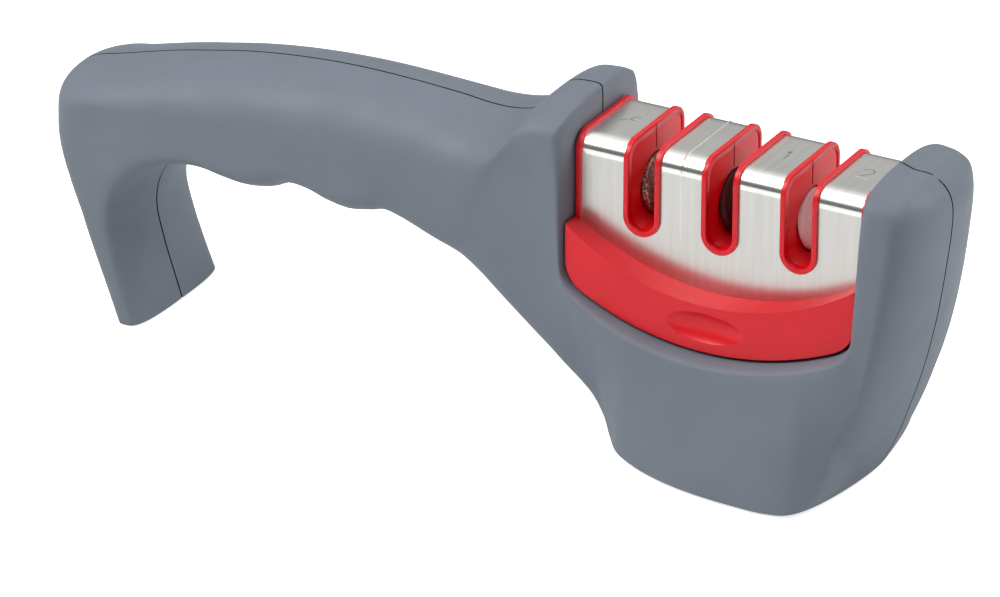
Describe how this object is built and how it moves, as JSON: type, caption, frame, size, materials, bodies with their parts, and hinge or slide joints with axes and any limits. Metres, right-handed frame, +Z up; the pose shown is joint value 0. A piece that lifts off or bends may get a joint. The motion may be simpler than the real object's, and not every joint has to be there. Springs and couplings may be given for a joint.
{
  "type": "hand-held knife sharpener",
  "caption": "Hand-held knife sharpener with an arched handle, a curved leg and a broad foot; a red lift-out head under brushed steel holds the knife slots and their discs.",
  "frame": {"origin": "bottom centre of the whole object's box, on the surface it stands on", "axes": "+X from the handle to the sharpening head, -Y the front that faces the user's side view, +Z up"},
  "size_m": [0.2222, 0.0608, 0.0791],
  "materials": {
    "soft_grey": "soft matte coating",
    "red_plastic": "satin moulded red",
    "cover_steel": "brushed, polished shoulders",
    "screw_steel": "plain",
    "pad_rubber": "ribbed matte",
    "bush_brass": "plain",
    "washer_nylon": "plain",
    "diamond_grit": "sparkling bonded grit",
    "coarse_grit": "coarse bonded grit",
    "white_ceramic": "fine ground",
    "axle_steel": "ground",
    "clip_plastic": "plain"
  },
  "bodies": {
    "housing": {"body_front_shell": "soft_grey", "body_rear_shell": "soft_grey", "body_screws": "screw_steel", "base_pad": "pad_rubber", "leg_pad": "pad_rubber"},
    "sharpening_head": {"insert_front": "red_plastic", "insert_rear": "red_plastic", "steel_cover": "cover_steel", "insert_screws": "screw_steel", "axle_bushes": "bush_brass", "thrust_washers": "washer_nylon"},
    "diamond_left": {"diamond_disc_left": "diamond_grit", "diamond_axle_left": "axle_steel", "diamond_clip_left": "clip_plastic"},
    "diamond_right": {"diamond_disc_right": "diamond_grit", "diamond_axle_right": "axle_steel", "diamond_clip_right": "clip_plastic"},
    "coarse_left": {"coarse_disc_left": "coarse_grit", "coarse_axle_left": "axle_steel", "coarse_clip_left": "clip_plastic"},
    "coarse_right": {"coarse_disc_right": "coarse_grit", "coarse_axle_right": "axle_steel", "coarse_clip_right": "clip_plastic"},
    "ceramic_left": {"ceramic_disc_left": "white_ceramic", "ceramic_axle_left": "axle_steel", "ceramic_clip_left": "clip_plastic"},
    "ceramic_right": {"ceramic_disc_right": "white_ceramic", "ceramic_axle_right": "axle_steel", "ceramic_clip_right": "clip_plastic"}
  },
  "joints": [
    {"name": "head_lift", "type": "slide", "parent": "housing", "child": "sharpening_head", "axis": [0, 0, 1], "range_m": [0, 0.062]},
    {"name": "diamond_left_spin", "type": "hinge", "parent": "sharpening_head", "child": "diamond_left", "pos_m": [0.04051, 0, 0.0586], "axis": [0.9816, 0, 0.1908], "continuous": true},
    {"name": "diamond_right_spin", "type": "hinge", "parent": "sharpening_head", "child": "diamond_right", "pos_m": [0.04369, 0, 0.0586], "axis": [0.9816, 0, -0.1908], "continuous": true},
    {"name": "coarse_left_spin", "type": "hinge", "parent": "sharpening_head", "child": "coarse_left", "pos_m": [0.05971, 0, 0.0586], "axis": [0.9816, 0, 0.1908], "continuous": true},
    {"name": "coarse_right_spin", "type": "hinge", "parent": "sharpening_head", "child": "coarse_right", "pos_m": [0.06289, 0, 0.0586], "axis": [0.9816, 0, -0.1908], "continuous": true},
    {"name": "ceramic_left_spin", "type": "hinge", "parent": "sharpening_head", "child": "ceramic_left", "pos_m": [0.07891, 0, 0.0586], "axis": [0.9816, 0, 0.1908], "continuous": true},
    {"name": "ceramic_right_spin", "type": "hinge", "parent": "sharpening_head", "child": "ceramic_right", "pos_m": [0.08209, 0, 0.0586], "axis": [0.9816, 0, -0.1908], "continuous": true}
  ]
}
